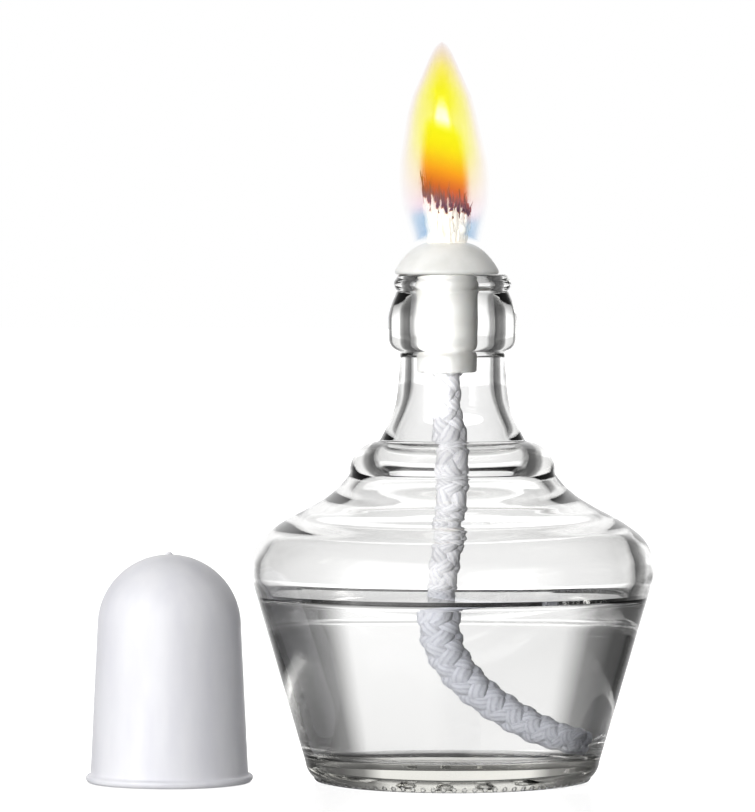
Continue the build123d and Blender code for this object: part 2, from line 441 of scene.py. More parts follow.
@dataclass
class Outline:
    """A turned outline: (radius, height) points in millimetres, drawn run by run."""

    points: list[Pair] = field(default_factory=list)

    def line(self, *ends: Pair, steps: int = 1) -> "Outline":
        """Draws straight runs.

        Args:
            ends: The end of each run.
            steps: How many pieces each run is cut into.

        Returns:
            This outline.
        """
        for end in ends:
            if self.points:
                r, z = self.points[-1]
                for i in range(1, steps):
                    t = i / steps
                    self.points.append((r + (end[0] - r) * t, z + (end[1] - z) * t))
            self.points.append(end)
        return self

    def arc(self, through: Pair, end: Pair, steps: int = 8) -> "Outline":
        """Draws the round arc from the last point, through one point, to an end.

        Args:
            through: A point on the arc.
            end: Its end.
            steps: How many pieces it is cut into.

        Returns:
            This outline.
        """
        a, b, c = (complex(*p) for p in (self.points[-1], through, end))
        w = (c - a) / (b - a)
        centre = a + (b - a) * (w - abs(w) ** 2) / (2j * w.imag)
        start = math.atan2((a - centre).imag, (a - centre).real)
        sweep = math.atan2((c - centre).imag, (c - centre).real) - start
        middle = math.atan2((b - centre).imag, (b - centre).real) - start
        sweep, middle = sweep % math.tau, middle % math.tau
        if middle > sweep:
            sweep -= math.tau
        radius = abs(a - centre)
        for i in range(1, steps + 1):
            angle = start + sweep * i / steps
            self.points.append((centre.real + radius * math.cos(angle), centre.imag + radius * math.sin(angle)))
        return self

    def curve(self, *knots: Pair, start: Pair, end: Pair, steps: int = 6) -> "Outline":
        """Draws a smooth curve from the last point through the knots.

        Args:
            knots: The points that it passes through, the last of them its end.
            start: Its direction at the start.
            end: Its direction at the end.
            steps: How many pieces each stretch is cut into.

        Returns:
            This outline.
        """
        p = [Vector(q) for q in (self.points[-1], *knots)]
        chords = [(b - a).length for a, b in zip(p, p[1:])]
        slopes = [Vector(start).normalized()]
        for i in range(1, len(p) - 1):
            before = (p[i] - p[i - 1]) / chords[i - 1]
            after = (p[i + 1] - p[i]) / chords[i]
            share = chords[i] / (chords[i - 1] + chords[i])
            slopes.append((before * share + after * (1 - share)).normalized())
        slopes.append(Vector(end).normalized())
        for i, chord in enumerate(chords):
            for k in range(1, steps + 1):
                t = k / steps
                h = (2 * t**3 - 3 * t**2 + 1, t**3 - 2 * t**2 + t, -2 * t**3 + 3 * t**2, t**3 - t**2)
                q = p[i] * h[0] + slopes[i] * chord * h[1] + p[i + 1] * h[2] + slopes[i + 1] * chord * h[3]
                self.points.append((q.x, q.y))
        return self


def new_object(name: str, mesh: Mesh, material: Material) -> Piece:
    """Puts a mesh in the scene as a piece.

    Args:
        name: The piece's name.
        mesh: Its mesh, in the frame's metres.
        material: Its finish.

    Returns:
        The new object.
    """
    piece = bpy.data.objects.new(name, mesh)
    bpy.context.scene.collection.objects.link(piece)
    mesh.materials.clear()
    mesh.materials.append(material)
    return piece


def turn(
    name: str,
    outline: Outline,
    material: Material,
    axis: Pair = (0.0, 0.0),
    segments: int = 192,
    warp: Callable[[Vector, int], Vector] | None = None,
    sharp: float = 50.0,
) -> Piece:
    """Turns an outline round a vertical axis into a closed mesh.

    Args:
        name: The piece's name.
        outline: The outline in millimetres. It starts and ends on the axis, or it is a closed ring off the axis.
        material: The piece's finish.
        axis: The axis's X and Y in metres.
        segments: How many steps the turn has.
        warp: Moves each point, given and returned in millimetres about the axis, by its place in the outline.
        sharp: Edges that turn by more degrees than this stay crisp.

    Returns:
        The new object.
    """
    work = bmesh.new()
    rings: list[list[bmesh.types.BMVert]] = []
    for index, (r, z) in enumerate(outline.points):
        count = 1 if r < 1e-6 else segments
        ring = []
        for i in range(count):
            angle = math.tau * i / segments
            place = Vector((r * math.cos(angle), r * math.sin(angle), z))
            place = warp(place, index) if warp else place
            ring.append(work.verts.new((axis[0] + place.x * MM, axis[1] + place.y * MM, place.z * MM)))
        rings.append(ring)
    closed = outline.points[0][0] >= 1e-6 and outline.points[-1][0] >= 1e-6
    pairs = list(zip(rings, rings[1:])) + ([(rings[-1], rings[0])] if closed else [])
    for a, b in pairs:
        for i in range(segments):
            j = (i + 1) % segments
            corners = [a[i % len(a)], a[j % len(a)], b[j % len(b)], b[i % len(b)]]
            face = list(dict.fromkeys(corners))
            if len(face) > 2:
                work.faces.new(face)
    bmesh.ops.recalc_face_normals(work, faces=work.faces)
    for face in work.faces:
        face.smooth = True
    for edge in work.edges:
        edge.smooth = edge.calc_face_angle(0.0) < math.radians(sharp)
    mesh = bpy.data.meshes.new(name)
    work.to_mesh(mesh)
    work.free()
    return new_object(name, mesh, material)


@dataclass
class Loft:
    """Gathers tubes, each a stack of rings, into one mesh with a UV map and point attributes."""

    verts: list[np.ndarray] = field(default_factory=list)
    faces: list[tuple[int, ...]] = field(default_factory=list)
    charts: list[list[Pair]] = field(default_factory=list)
    values: dict[str, list[np.ndarray]] = field(default_factory=dict)
    count: int = 0

    def tube(self, rings: np.ndarray, open_ends: bool = False, **values: np.ndarray) -> None:
        """Adds one tube.

        Args:
            rings: Points, as rings by points by 3, in metres.
            open_ends: Leaves the tube's ends open.
            values: One number for each ring, or one for each point, by attribute name.
        """
        n, m, _ = rings.shape
        start = self.count
        lengths = np.linalg.norm(np.diff(rings.mean(axis=1), axis=0), axis=1)
        along = np.concatenate([[0.0], np.cumsum(lengths)])
        for i in range(n - 1):
            for j in range(m):
                k = (j + 1) % m
                a, b = start + i * m, start + (i + 1) * m
                self.faces.append((a + j, a + k, b + k, b + j))
                u, w = j / m, (j + 1) / m
                self.charts.append([(u, along[i]), (w, along[i]), (w, along[i + 1]), (u, along[i + 1])])
        if not open_ends:
            for first, backwards in ((start, True), (start + (n - 1) * m, False)):
                ring = [first + j for j in range(m)]
                self.faces.append(tuple(reversed(ring)) if backwards else tuple(ring))
                self.charts.append([(0.5, along[-1])] * m)
        self.verts.append(rings.reshape(-1, 3))
        for name, value in values.items():
            spread = value if value.ndim == 2 or len(value) == n * m else np.repeat(value, m)
            self.values.setdefault(name, []).append(spread)
        self.count += n * m

    def finish(self, name: str, material: Material) -> Piece:
        """Makes the object.

        Args:
            name: The piece's name.
            material: Its finish.

        Returns:
            The new object.
        """
        mesh = bpy.data.meshes.new(name)
        mesh.from_pydata(np.concatenate(self.verts).tolist(), [], self.faces)
        chart = mesh.uv_layers.new(name="UVMap")
        flat = np.array([xy for face in self.charts for xy in face], np.float32)
        chart.data.foreach_set("uv", flat.ravel())
        for key, parts in self.values.items():
            whole = np.concatenate(parts).astype(np.float32)
            kind = "FLOAT" if whole.ndim == 1 else "FLOAT_COLOR"
            attribute = mesh.attributes.new(key, kind, "POINT")
            attribute.data.foreach_set("value" if whole.ndim == 1 else "color", whole.ravel())
        mesh.validate()
        mesh.shade_smooth()
        return new_object(name, mesh, material)


@dataclass
class Line:
    """A line through space, cut into even steps, with a frame at each point that doesn't twist."""

    points: np.ndarray
    step: float = 0.4 * MM

    def __post_init__(self) -> None:
        """Cuts the line evenly and carries its frame along it."""
        lengths = np.linalg.norm(np.diff(self.points, axis=0), axis=1)
        along = np.concatenate([[0.0], np.cumsum(lengths)])
        count = max(4, int(round(along[-1] / self.step)) + 1)
        self.along = np.linspace(0.0, along[-1], count)
        self.points = np.stack([np.interp(self.along, along, self.points[:, k]) for k in range(3)], axis=1)
        slopes = np.gradient(self.points, axis=0)
        self.tangents = slopes / np.linalg.norm(slopes, axis=1)[:, None]
        normal = np.cross(self.tangents[0], (0.0, 1.0, 0.0))
        normals = []
        for tangent in self.tangents:
            normal = normal - tangent * np.dot(normal, tangent)
            normal = normal / np.linalg.norm(normal)
            normals.append(normal)
        self.normals = np.array(normals)
        self.sides = np.cross(self.tangents, self.normals)

    @property
    def length(self) -> float:
        """The line's whole length."""
        return float(self.along[-1])

    def offset(self, radius: np.ndarray, angle: np.ndarray) -> np.ndarray:
        """The points beside the line at these radii and angles."""
        return (
            self.points
            + self.normals * (radius * np.cos(angle))[:, None]
            + self.sides * (radius * np.sin(angle))[:, None]
        )


def visible_mesh(carrier: Piece) -> Mesh:
    """The mesh that an object comes to once its modifiers or curves are worked out.

    Args:
        carrier: An object that is only there for this. It is removed.

    Returns:
        The mesh.
    """
    bpy.context.scene.collection.objects.link(carrier)
    evaluated = carrier.evaluated_get(bpy.context.evaluated_depsgraph_get())
    mesh = bpy.data.meshes.new_from_object(evaluated)
    bpy.data.objects.remove(carrier)
    return mesh


def smooth_route(places: Sequence[Triple]) -> np.ndarray:
    """Reads the points of the NURBS spline that has these control points, all in metres."""
    curve = bpy.data.curves.new("route", "CURVE")
    curve.dimensions = "3D"
    spline = curve.splines.new("NURBS")
    spline.points.add(len(places) - 1)
    for point, place in zip(spline.points, places):
        point.co = (*place, 1.0)
    spline.order_u = 3
    spline.use_endpoint_u = True
    spline.resolution_u = 24
    mesh = visible_mesh(bpy.data.objects.new("route", curve))
    line = np.array([v.co[:] for v in mesh.vertices])
    bpy.data.meshes.remove(mesh)
    bpy.data.curves.remove(curve)
    return line


def bake_nodes(name: str, base: Mesh, tree: Tree, inputs: dict[str, object], material: Material) -> Piece:
    """Runs a Geometry Nodes tree on a mesh and keeps the result as a plain mesh.

    Args:
        name: The new piece's name.
        base: The mesh that the tree starts from.
        tree: The tree.
        inputs: Its named inputs.
        material: The finish of the result.

    Returns:
        The new object, with no modifier.
    """
    carrier = bpy.data.objects.new(name + "_source", base)
    modifier = carrier.modifiers.new("nodes", "NODES")
    modifier.node_group = tree
    for item in tree.interface.items_tree:
        if item.item_type == "SOCKET" and item.in_out == "INPUT" and item.name in inputs:
            modifier[item.identifier] = inputs[item.name]
    mesh = visible_mesh(carrier)
    mesh.name = name
    return new_object(name, mesh, material)


def start_tree(name: str, sockets: dict[str, str]) -> tuple[Tree, bpy.types.NodeOutputs]:
    """Starts a Geometry Nodes tree.

    Args:
        name: The tree's name.
        sockets: The type of each input after the geometry, by its name.

    Returns:
        The tree and its inputs' values.
    """
    tree = bpy.data.node_groups.new(name, "GeometryNodeTree")
    for label, kind in {"Geometry": "Geometry", **sockets}.items():
        tree.interface.new_socket(label, in_out="INPUT", socket_type="NodeSocket" + kind)
    tree.interface.new_socket("Geometry", in_out="OUTPUT", socket_type="NodeSocketGeometry")
    return tree, tree.nodes.new("NodeGroupInput").outputs


def end_tree(tree: Tree, geometry: Socket, material: Socket) -> None:
    """Ends a tree in Realize Instances and Set Material.

    Args:
        tree: The tree.
        geometry: What it made.
        material: Its Material input.
    """
    real = add(tree, "GeometryNodeRealizeInstances", {"Geometry": geometry}).outputs["Geometry"]
    dressed = add(tree, "GeometryNodeSetMaterial", {"Geometry": real, "Material": material})
    add(tree, "NodeGroupOutput", {"Geometry": dressed.outputs["Geometry"]})


# ---------------------------------------------------------------- bottle and oil


@dataclass
class Bottle:
    """The glass bottle and the oil in it. Sizes are in millimetres."""

    glass: FlintGlass = FlintGlass()
    oil: ParaffinOil = ParaffinOil()
    height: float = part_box("glass_bottle")[1].z / MM
    oil_level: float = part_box("lamp_oil")[1].z / MM
    punt: float = 2.6
    foot: Pair = (27.0, 30.2)
    body_top: Pair = (46.2, 46.0)
    # How far the inner wall is off-centre at most, at what height, and over what spread.
    inner_shift: float = -0.7
    shift_height: float = 50.0
    shift_spread: float = 16.0
    wave: float = 0.28
    fold_height: float = 58.6
    fold_depth: float = 1.5
    fold_width: float = 2.3
    oil_overlap: float = 0.15
    # How high the oil climbs, and how far that reaches from the wall and from the wick.
    meniscus: float = 1.3
    wall_creep: float = 1.4
    wick_creep: float = 0.9
    stipples: int = 84
    stipple_rise: float = 0.95
    stipple_ring: float = 1.1
    ridge: Triple = (0.75, 0.6, 0.8)

    def outside(self) -> Outline:
        """The outline from the punt's middle, round the foot and up to the lip's inner edge."""
        top = self.height
        path = Outline([(0.0, self.punt)])
        path.arc((self.foot[0] * 0.55, self.punt * 0.72), (self.foot[0], 0.0), steps=12)
        path.line((self.foot[1], 0.0), steps=3).arc((32.8, 1.7), (34.0, 4.6), steps=8)
        path.line(self.body_top, steps=26)
        path.curve(
            (46.75, 49.4), (45.1, 54.7), (39.5, 59.7), (33.0, 63.2), (28.0, 66.4), (23.7, 71.1),
            start=(12.2, 41.4), end=(-0.6, 1.0), steps=7,
        )
        path.curve((23.1, 74.4), (20.6, 77.3), (17.0, 78.5), start=(0.15, 1.0), end=(-1.0, 0.15), steps=6)
        path.curve((15.5, 81.2), (13.5, 85.8), (12.5, 92.0), (12.2, 99.2), start=(-0.7, 1.0), end=(0, 1), steps=5)
        path.arc((13.9, 100.1), (14.8, 102.6), steps=7).line((14.8, 106.6), steps=3)
        path.curve((14.1, 109.9), (12.8, 113.2), start=(0, 1), end=(-0.35, 1.0), steps=5)
        path.arc((13.55, 114.6), (12.9, 116.1), steps=8).arc((12.55, 116.75), (11.8, top), steps=5)
        return path.line((10.9, top), steps=2)

    def inside(self) -> Outline:
        """The outline from the lip's inner edge down the wall to the floor's middle."""
        path = Outline([(10.9, self.height)])
        path.arc((10.19, self.height - 0.29), (9.9, self.height - 1.0), steps=5).line((9.9, 104.0), steps=6)
        path.curve((9.5, 100.0), start=(0, -1), end=(0, -1), steps=4).line((9.5, 93.0), steps=4)
        path.curve(
            (10.8, 86.0), (13.3, 80.4), (17.2, 75.2), (20.0, 70.2), (24.0, 65.2), (29.4, 61.8), (35.8, 58.7),
            (41.2, 54.2), (43.2, 49.6), (43.0, 46.5),
            start=(0, -1), end=(-11.6, -35.0), steps=6,
        )
        path.line((31.4, 11.5), steps=24).arc((29.2, 8.4), (24.0, 7.4), steps=8)
        return path.arc((13.0, 9.9), (0.0, 10.8), steps=14)

    def waver(self, place: Vector) -> Vector:
        """Moves a point of the inner wall, in millimetres, as blown glass does: off-centre and never quite even."""
        z = place.z
        radius = math.hypot(place.x, place.y) or 1.0
        rise = math.exp(-(((z - self.shift_height) / self.shift_spread) ** 2))
        still = held((100.0 - z) / 12) * held(radius / 8)
        ripple = noise.noise(Vector((place.x / 40, place.y / 40, z / 15 + 3.7)))
        fold = self.fold_depth * math.exp(-(((z - self.fold_height) / self.fold_width) ** 2))
        grow = 1 + (self.wave * ripple * still - fold) / radius
        return Vector((place.x * grow + self.inner_shift * rise, place.y * grow, z))

    def make_glass(self) -> Piece:
        """The bottle, outer and inner walls in one closed skin."""
        outer, inner = self.outside(), self.inside()
        whole = Outline(outer.points + inner.points[1:])

        def shape(place: Vector, index: int) -> Vector:
            """Leaves the outer wall true, and wavers the inner one."""
            return self.waver(place) if index > len(outer.points) else place

        piece = turn("bottle_glass", whole, self.glass.build(), segments=256, warp=shape, sharp=180)
        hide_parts("glass_bottle")
        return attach(piece, Body.BOTTLE.value)

    def make_stipples(self) -> Piece:
        """The row of little ridges that the mould leaves on the bearing ring."""
        sockets = {"Count": "Int", "Ring radius": "Float", "Ridge": "Vector", "Material": "Material"}
        tree, given = start_tree("foot_stipples", sockets)
        ring = add(tree, "GeometryNodeMeshCircle", {"Vertices": given["Count"], "Radius": given["Ring radius"]})
        grain = add(tree, "GeometryNodeMeshUVSphere", {"Segments": 10, "Rings": 6, "Radius": 1.0})
        sized = add(tree, "GeometryNodeTransform", {"Geometry": grain.outputs["Mesh"], "Scale": given["Ridge"]})
        place = add(tree, "GeometryNodeInputPosition")
        facing = add(tree, "FunctionNodeAlignRotationToVector", {"axis": "X", "Vector": place.outputs["Position"]})
        row = {
            "Points": ring.outputs["Mesh"],
            "Instance": sized.outputs["Geometry"],
            "Rotation": facing.outputs["Rotation"],
        }
        spread = add(tree, "GeometryNodeInstanceOnPoints", row)
        risen = {"Translation": (0.0, 0.0, self.stipple_rise * MM), "Geometry": spread.outputs["Instances"]}
        lifted = add(tree, "GeometryNodeTransform", risen)
        end_tree(tree, lifted.outputs["Geometry"], given["Material"])
        material = bpy.data.materials[self.glass.name]
        inputs = {
            "Count": self.stipples,
            "Ring radius": (self.foot[1] + self.stipple_ring) * MM,
            "Ridge": tuple(x * MM for x in self.ridge),
            "Material": material,
        }
        piece = bake_nodes("foot_stipples", bpy.data.meshes.new("stipple_seed"), tree, inputs, material)
        piece.data.shade_smooth()
        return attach(piece, Body.BOTTLE.value)

    def make_oil(self, wick_at: Pair, wick_radius: float) -> Piece:
        """The oil, which wets the wall and climbs a little up it and up the wick.

        Args:
            wick_at: Where the wick crosses the surface, in millimetres.
            wick_radius: Its radius there.

        Returns:
            The oil.
        """
        level = self.oil_level
        wall = [p for p in reversed(self.inside().points) if p[1] < level + self.meniscus + 0.2]
        brim = wall[-1]
        spread = [(brim[0] + self.oil_overlap, level + self.meniscus)]
        top = [(brim[0] * (1 - k / 60), level) for k in range(1, 61)]
        path = Outline([(r + (self.oil_overlap if r > 1 else 0), z - 0.1) for r, z in wall[:-1]] + spread + top)

        def shape(place: Vector, _index: int) -> Vector:
            """Follows the wavering wall, and lifts the surface where it climbs."""
            radius = math.hypot(place.x, place.y)
            moved = self.waver(place)
            if place.z < level - 1e-6:
                return moved
            climb = self.meniscus * math.exp(-max(0.0, brim[0] + self.oil_overlap - radius) / self.wall_creep)
            beside = math.hypot(place.x - wick_at[0], place.y - wick_at[1]) - wick_radius
            climb += self.meniscus * math.exp(-max(0.0, beside) / self.wick_creep)
            return Vector((moved.x, moved.y, level + climb))

        piece = turn("oil_charge", path, self.oil.build(), segments=256, warp=shape, sharp=180)
        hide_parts("lamp_oil")
        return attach(piece, Body.BOTTLE.value)


# ---------------------------------------------------------------- porcelain holder


@dataclass
class WickHolder:
    """The porcelain holder. Sizes are in millimetres, with heights from the lip that it rests on."""

    finish: BisquePorcelain = BisquePorcelain()
    lip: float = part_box("glass_bottle")[1].z / MM
    dome_height: float = 7.3
    dome_radius: float = 12.0
    bore: float = 3.5
    stem: Triple = (7.4, 6.9, 22.8)

    @property
    def axis(self) -> Pair:
        """Where the holder's axis stands, in metres."""
        low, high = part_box("wick_holder")
        return ((low.x + high.x) / 2, (low.y + high.y) / 2)

    def outline(self) -> Outline:
        """The closed outline of the holder's wall."""
        top_r, foot_r, length = self.stem
        mouth = self.bore + 0.9
        path = Outline([(self.dome_radius - 0.5, 0.0)])
        path.arc((self.dome_radius - 0.12, 0.2), (self.dome_radius, 0.7), steps=5)
        path.curve(
            (11.25, 2.1), (9.9, 3.9), (7.9, 5.8), (mouth, self.dome_height),
            start=(-0.3, 1.0), end=(-1.0, 0.12), steps=8,
        )
        path.arc((self.bore + 0.26, self.dome_height - 0.26), (self.bore, self.dome_height - 0.9), steps=5)
        path.line((self.bore, -length), steps=12).line((foot_r - 0.5, -length), steps=3)
        path.arc((foot_r - 0.15, -length + 0.15), (foot_r, -length + 0.5), steps=4)
        path.line((top_r, -1.2), steps=12).arc((top_r + 0.12, -0.3), (top_r + 0.6, 0.0), steps=4)
        path.points = [(r, z + self.lip) for r, z in path.points]
        return path

    def chip(self, place: Vector, _index: int) -> Vector:
        """Wears the foot of the stem unevenly, as a fettled casting is."""
        foot = self.lip - self.stem[2]
        low = max(0.0, 1 - (place.z - foot) / 1.2)
        rough = noise.noise(Vector((place.x / 1.6, place.y / 1.6, 0.4)))
        hollow = 0.05 * noise.noise(Vector((place.x / 5, place.y / 5, place.z / 5)))
        radius = math.hypot(place.x, place.y) or 1.0
        outer = 1 if radius > self.bore + 0.2 else 0
        grow = 1 + outer * hollow / radius
        return Vector((place.x * grow, place.y * grow, place.z + outer * low * max(0.0, rough) * 0.7))

    def make(self) -> Piece:
        """The holder."""
        piece = turn("porcelain_holder", self.outline(), self.finish.build(), self.axis, 160, self.chip, 35)
        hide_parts("wick_holder")
        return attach(piece, Body.HOLDER.value)


# ---------------------------------------------------------------- wick


@dataclass
class Wick:
    """The wick: its braided tail, the stretch in the bore and the frayed, burning tip. Sizes are in millimetres."""

    braid: CottonBraid = CottonBraid()
    singed: SingedCotton = SingedCotton()
    radius: float = WICK_RADIUS
    strands: int = 4
    turn_length: float = 19.0
    holder_x: float = HOLDER_X
    dome_top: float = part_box("wick_holder")[1].z / MM
    oil_level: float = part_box("lamp_oil")[1].z / MM
    stem_foot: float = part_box("wick_shank")[0].z / MM
    # Shares of the radius: the strands' middle, weave, half-width and half-depth, and the core.
    strand_middle: float = 0.62
    strand_weave: float = 0.17
    strand_wide: float = 0.60
    strand_deep: float = 0.40
    core_share: float = 0.55
    # How much the braid is drawn in below the stem, for how long, and how soon.
    drawn_in: float = 0.19
    drawn_length: float = 8.5
    drawn_run: float = 4.0
    # The control points of its line, from the foot of the stem to the cut end.
    route: tuple[Triple, ...] = (
        (-1.3, 0.0, 94.2),
        (-1.3, 0.0, 85.0),
        (0.3, -0.4, 73.0),
        (0.0, 0.3, 60.0),
        (-1.9, 0.5, 48.5),
        (-2.3, 0.2, 38.8),
        (0.2, -0.3, 30.6),
        (5.0, -0.9, 23.7),
        (11.4, -2.8, 17.8),
        (18.9, -6.0, 12.9),
        (25.4, -9.2, 11.1),
    )

    def strand_rings(self, line: Line, way: int, index: int) -> np.ndarray:
        """One strand of the braid as rings.

        Args:
            line: The braid's own line.
            way: 1 for a strand that winds to the left, and -1 for one that winds to the right.
            index: Which strand of its way it is.

        Returns:
            The strand's rings.
        """
        t = math.tau * line.along / (self.turn_length * MM)
        slim = 1.06 - 0.16 * np.clip((line.along / MM - 20) / 30, 0, 1)
        middle = self.strand_middle * self.radius * MM * slim
        weave = self.strand_weave * self.radius * MM
        jitter = 0.06 * np.sin(line.along / MM * 1.7 + index * 2.1 + way)
        angle = way * t + math.tau * index / self.strands + jitter
        radius = middle + way * weave * np.cos(self.strands * t)
        centres = line.offset(radius, angle)
        slopes = np.gradient(centres, axis=0)
        slopes /= np.linalg.norm(slopes, axis=1)[:, None]
        out = centres - line.points
        out -= slopes * np.sum(out * slopes, axis=1)[:, None]
        out /= np.linalg.norm(out, axis=1)[:, None]
        across = np.cross(slopes, out)
        around = np.linspace(0, math.tau, 22, endpoint=False)
        lobes = 1 + 0.035 * np.cos(9 * around)
        wide = self.strand_wide * self.radius * MM
        deep = self.strand_deep * self.radius * MM
        ends = np.clip(np.minimum(line.along, line.length - line.along) / (0.5 * MM), 0.75, 1) * slim
        flat = (wide * np.cos(around) * lobes)[None, :, None] * across[:, None, :]
        high = (deep * np.sin(around) * lobes)[None, :, None] * out[:, None, :]
        return centres[:, None, :] + (flat + high) * ends[:, None, None]

    def make_tail(self) -> tuple[Piece, np.ndarray]:
        """The free tail, and the line that it follows."""
        # Just below the stem the braid is drawn in, so that it can be fed up through the bore.
        start = self.route[0][2] - self.drawn_length - self.drawn_run
        middle = np.array(self.route[0][:2]) * MM
        line = Line(smooth_route([tuple(x * MM for x in p) for p in self.route]))
        loft = Loft()
        soak = np.clip((self.oil_level + 4 - line.points[:, 2] / MM) / 5, 0, 1)
        for way in (1, -1):
            for index in range(self.strands):
                rings = self.strand_rings(line, way, index)
                drawn = self.drawn_in * np.clip((rings[..., 2:] / MM - start) / self.drawn_run, 0, 1)
                rings[..., :2] = middle + (rings[..., :2] - middle) * (1 - drawn)
                loft.tube(rings, soak=soak)
        core = np.linspace(0, math.tau, 12, endpoint=False)
        inner = np.full(len(line.along), self.core_share * self.radius * MM)
        ring = np.stack([line.offset(inner, np.full(len(inner), a)) for a in core], axis=1)
        loft.tube(ring[2:-2], soak=np.ones(len(inner) - 4))
        piece = loft.finish("braided_tail", self.braid.build())
        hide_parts("wick_tail")
        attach(piece, Body.WICK.value)
        return piece, line.points

    def make_fibres(self, tail: Piece) -> Piece:
        """The stray fibres that stand off the braid."""
        sockets = {"Density": "Float", "Length": "Float", "Thickness": "Float", "Seed": "Int", "Material": "Material"}
        tree, given = start_tree("stray_fibres", sockets)
        # None stand where the braid is drawn into the bore.
        place = add(tree, "GeometryNodeInputPosition")
        parts = add(tree, "ShaderNodeSeparateXYZ", {0: place.outputs["Position"]})
        limit = (self.route[0][2] - self.drawn_length) * MM
        under = {"data_type": "FLOAT", "operation": "LESS_THAN", 1: limit, 0: parts.outputs["Z"]}
        below = add(tree, "FunctionNodeCompare", under)
        sown = {
            "Mesh": given["Geometry"],
            "Density": given["Density"],
            "Seed": given["Seed"],
            "Selection": below.outputs["Result"],
        }
        roots = add(tree, "GeometryNodeDistributePointsOnFaces", sown)
        bow = {"Resolution": 4, "Start": (0, 0, 0), "Middle": (0.25, 0.1, 0.55), "End": (0.8, -0.1, 0.7)}
        bent = add(tree, "GeometryNodeCurveQuadraticBezier", bow)
        section = add(tree, "GeometryNodeCurvePrimitiveCircle", {"Resolution": 3, "Radius": given["Thickness"]})
        sweep = {"Fill Caps": True, "Curve": bent.outputs["Curve"], "Profile Curve": section.outputs["Curve"]}
        hair = add(tree, "GeometryNodeCurveToMesh", sweep)
        turns = {"data_type": "FLOAT_VECTOR", 0: (-0.6, -0.6, -3.1), 1: (0.6, 0.6, 3.1), "Seed": given["Seed"]}
        spin = add(tree, "FunctionNodeRandomValue", turns)
        size = add(tree, "FunctionNodeRandomValue", {"data_type": "FLOAT", 2: 0.4, 3: 1.0, "Seed": given["Seed"]})
        long = reckon(tree, "MULTIPLY", size.outputs[1], given["Length"])
        lay = {"rotation_space": "LOCAL", "Rotation": roots.outputs["Rotation"], "Rotate By": spin.outputs[0]}
        turned = add(tree, "FunctionNodeRotateRotation", lay)
        stand = {
            "Points": roots.outputs["Points"],
            "Instance": hair.outputs["Mesh"],
            "Rotation": turned.outputs["Rotation"],
            "Scale": long,
        }
        grown = add(tree, "GeometryNodeInstanceOnPoints", stand)
        end_tree(tree, grown.outputs["Instances"], given["Material"])
        material = bpy.data.materials[self.braid.name]
        inputs = {"Density": 420000.0, "Length": 1.15 * MM, "Thickness": 0.022, "Seed": 7, "Material": material}
        piece = bake_nodes("stray_fibres", tail.data.copy(), tree, inputs, material)
        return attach(piece, Body.WICK.value)

    def make_shank(self) -> Piece:
        """The stretch in the bore, squeezed to the bore's own size."""
        line = Line(np.array([(self.holder_x, 0, self.stem_foot), (self.holder_x, 0, self.dome_top - 0.9)]) * MM)
        loft = Loft()
        for way in (1, -1):
            for index in range(self.strands):
                loft.tube(self.strand_rings(line, way, index), soak=np.zeros(len(line.along)))
        piece = loft.finish("gripped_shank", bpy.data.materials[self.braid.name])
        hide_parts("wick_shank")
        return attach(piece, Body.WICK.value)

    def yarn(
        self, rng: random.Random, root: Pair, top: Vector, thick: float, lean: float, flat: float
    ) -> tuple[np.ndarray, np.ndarray]:
        """One tuft of the frayed tip: a ragged ribbon that bows outwards.

        Args:
            rng: The source of its unevenness.
            root: Where it leaves the bore, about the holder's axis.
            top: Where it ends.
            thick: Its half-width at the root.
            lean: How far it wanders.
            flat: Its thickness as a share of its width.

        Returns:
            Its rings in metres, and how far up it each one is, from 0 to 1.
        """
        steps, sides = 22, 8
        share = np.linspace(0, 1, steps)
        start = np.array([root[0], root[1], self.dome_top - 1.4])
        end = np.array(top)
        ease = share**0.8
        centre = start[None, :] * (1 - ease)[:, None] + end[None, :] * ease[:, None]
        centre[:, 2] = start[2] + (end[2] - start[2]) * share
        phase = [rng.uniform(0, math.tau) for _ in range(5)]
        centre[:, 0] += lean * np.sin(share * 5 + phase[0]) * share
        centre[:, 1] += lean * np.sin(share * 6 + phase[1]) * share
        around = np.linspace(0, math.tau, sides, endpoint=False)
        swell = (
            thick
            * (1 - 0.8 * share**4)
            * (1 + 0.22 * np.sin(share * 15 + phase[2]) + 0.12 * np.sin(share * 37 + phase[4]))
        )
        facing = (
            math.atan2(root[1], root[0]) + math.pi / 2 + rng.uniform(-0.5, 0.5) + 0.6 * np.sin(share * 4 + phase[3])
        )
        across = swell[:, None] * np.cos(around)[None, :]
        deep = swell[:, None] * flat * np.sin(around)[None, :]
        rings = np.zeros((steps, sides, 3))
        rings[:, :, 0] = (
            centre[:, None, 0] + across * np.cos(facing)[:, None] - deep * np.sin(facing)[:, None] + self.holder_x
        )
        rings[:, :, 1] = centre[:, None, 1] + across * np.sin(facing)[:, None] + deep * np.cos(facing)[:, None]
        rings[:, :, 2] = centre[:, None, 2] + 0.5 * across * np.sin(share * 9 + phase[2])[:, None] * share[:, None]
        return rings * MM, share

    def crest(self, x: float) -> float:
        """How high above the dome the frayed end stands, by distance to the right of the holder's axis."""
        return 10.8 - 0.5 * x

    def make_tip(self) -> Piece:
        """The frayed tip: cream tufts below, charred spikes on top."""
        rng = random.Random(11)
        loft = Loft()
        golden = math.pi * (3 - math.sqrt(5))
